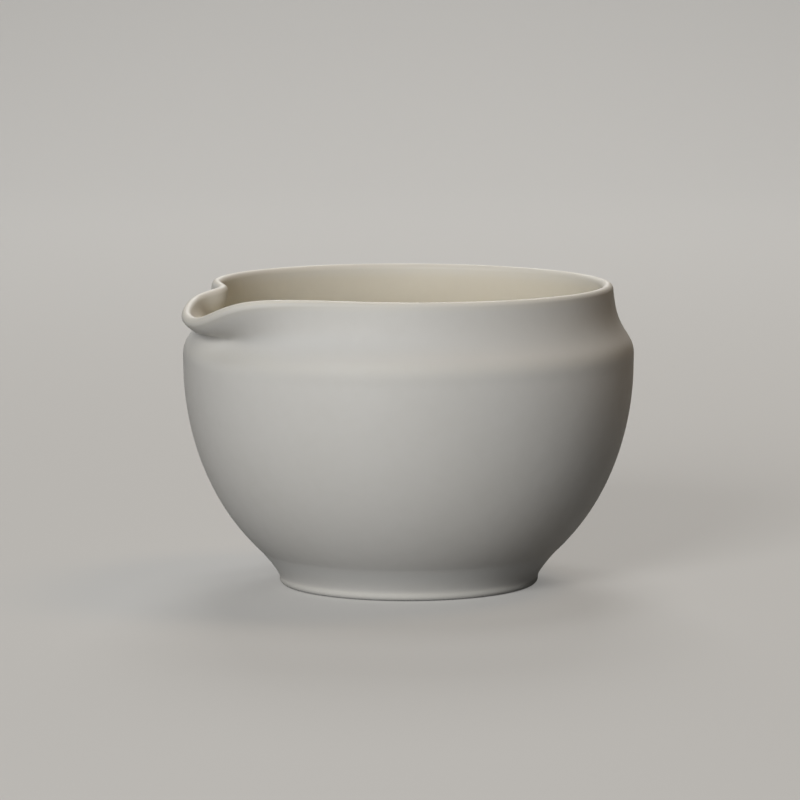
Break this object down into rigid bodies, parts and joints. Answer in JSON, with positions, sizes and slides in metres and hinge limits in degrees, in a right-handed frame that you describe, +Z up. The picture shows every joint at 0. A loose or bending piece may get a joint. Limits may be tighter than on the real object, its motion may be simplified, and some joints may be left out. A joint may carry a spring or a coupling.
{
  "type": "lipped tea bowl",
  "caption": "Wheel-thrown porcelain tea bowl with a rounded belly, an inset neck, a low foot ring and a small pouring lip pulled from the rim, glazed matt outside and satin inside.",
  "frame": {"origin": "centre of the foot ring, on the surface that the bowl stands on", "axes": "+Z up along the bowl's axis of turning, -Y towards the side that the picture shows, pouring lip at 204 degrees from +X, counter-clockwise seen from above"},
  "size_m": [0.1193, 0.1193, 0.0802],
  "materials": {
    "bare_porcelain": "fine unglazed porcelain, sanded smooth",
    "matt_glaze": "matt white glaze",
    "satin_glaze": "satin cream glaze"
  },
  "bodies": {
    "root": {"porcelain_body": "bare_porcelain", "outer_glaze": "matt_glaze", "inner_glaze": "satin_glaze", "foot_well_glaze": "matt_glaze"}
  },
  "joints": []
}
